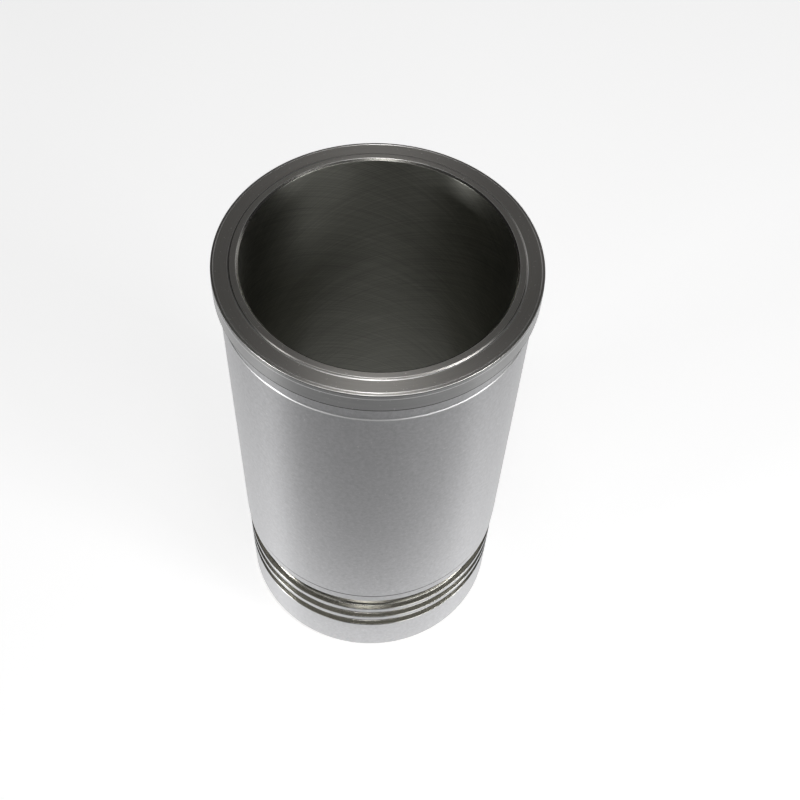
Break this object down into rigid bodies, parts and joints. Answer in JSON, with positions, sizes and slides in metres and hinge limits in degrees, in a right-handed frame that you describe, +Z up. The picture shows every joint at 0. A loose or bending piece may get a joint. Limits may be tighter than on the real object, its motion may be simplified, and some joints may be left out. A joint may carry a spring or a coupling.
{
  "type": "wet cylinder liner",
  "caption": "Flanged cast iron tube with a raised fire ring, a honed bore and seal grooves near its foot; it lines an engine cylinder.",
  "frame": {"origin": "centre of the lower end's face, on the bore's axis", "axes": "+Z up along the bore's axis to the flange and fire ring; X and Y are equal, because the liner is a body of revolution"},
  "size_m": [0.1644, 0.1644, 0.2925],
  "materials": {
    "liner_iron": "fine satin turned and ground grey iron, honed bore, polished seal grooves"
  },
  "bodies": {
    "root": {"cylinder_liner": "liner_iron"}
  },
  "joints": []
}
